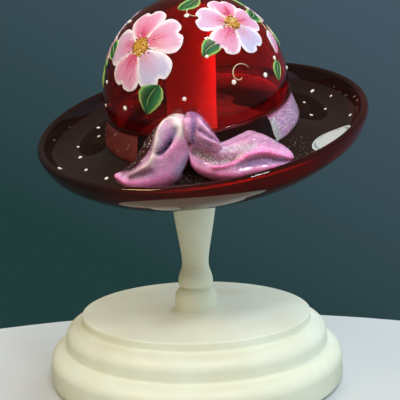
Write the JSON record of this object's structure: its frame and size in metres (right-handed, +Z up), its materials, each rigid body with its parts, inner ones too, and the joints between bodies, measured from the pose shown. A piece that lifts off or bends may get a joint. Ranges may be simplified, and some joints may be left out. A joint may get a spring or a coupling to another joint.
{
  "type": "glass hat on a stand",
  "caption": "Ruby glass hat with a domed crown, dished brim, ribbon band and relief bow, hung at a tilt on a cream turned wooden stand.",
  "frame": {"origin": "centre of the stand's felt underside", "axes": "+Z up along the stem; -Y towards the bow, where the hat leans"},
  "size_m": [0.1731, 0.1646, 0.1983],
  "materials": {
    "painted_wood": "satin cream paint over turned wood",
    "felt": "pressed wool felt",
    "screw_steel": "zinc-plated steel",
    "ruby_glass": "fire-polished deep ruby glass",
    "pink_enamel": "frosted pink enamel with glitter on glass",
    "sticker_paper": "coated paper"
  },
  "bodies": {
    "stand": {"base": "painted_wood", "base_felt": "felt", "base_screw": "screw_steel", "stem": "painted_wood", "stem_pad": "felt"},
    "hat": {"glass_hat": "ruby_glass", "hat_band": "pink_enamel", "bow_left_loop": "pink_enamel", "bow_right_tail": "pink_enamel", "bow_knot": "pink_enamel", "label": "sticker_paper"}
  },
  "joints": [
    {"name": "hat_lift", "type": "slide", "parent": "stand", "child": "hat", "axis": [0, 0, 1], "range_m": [0, 0.11]}
  ]
}
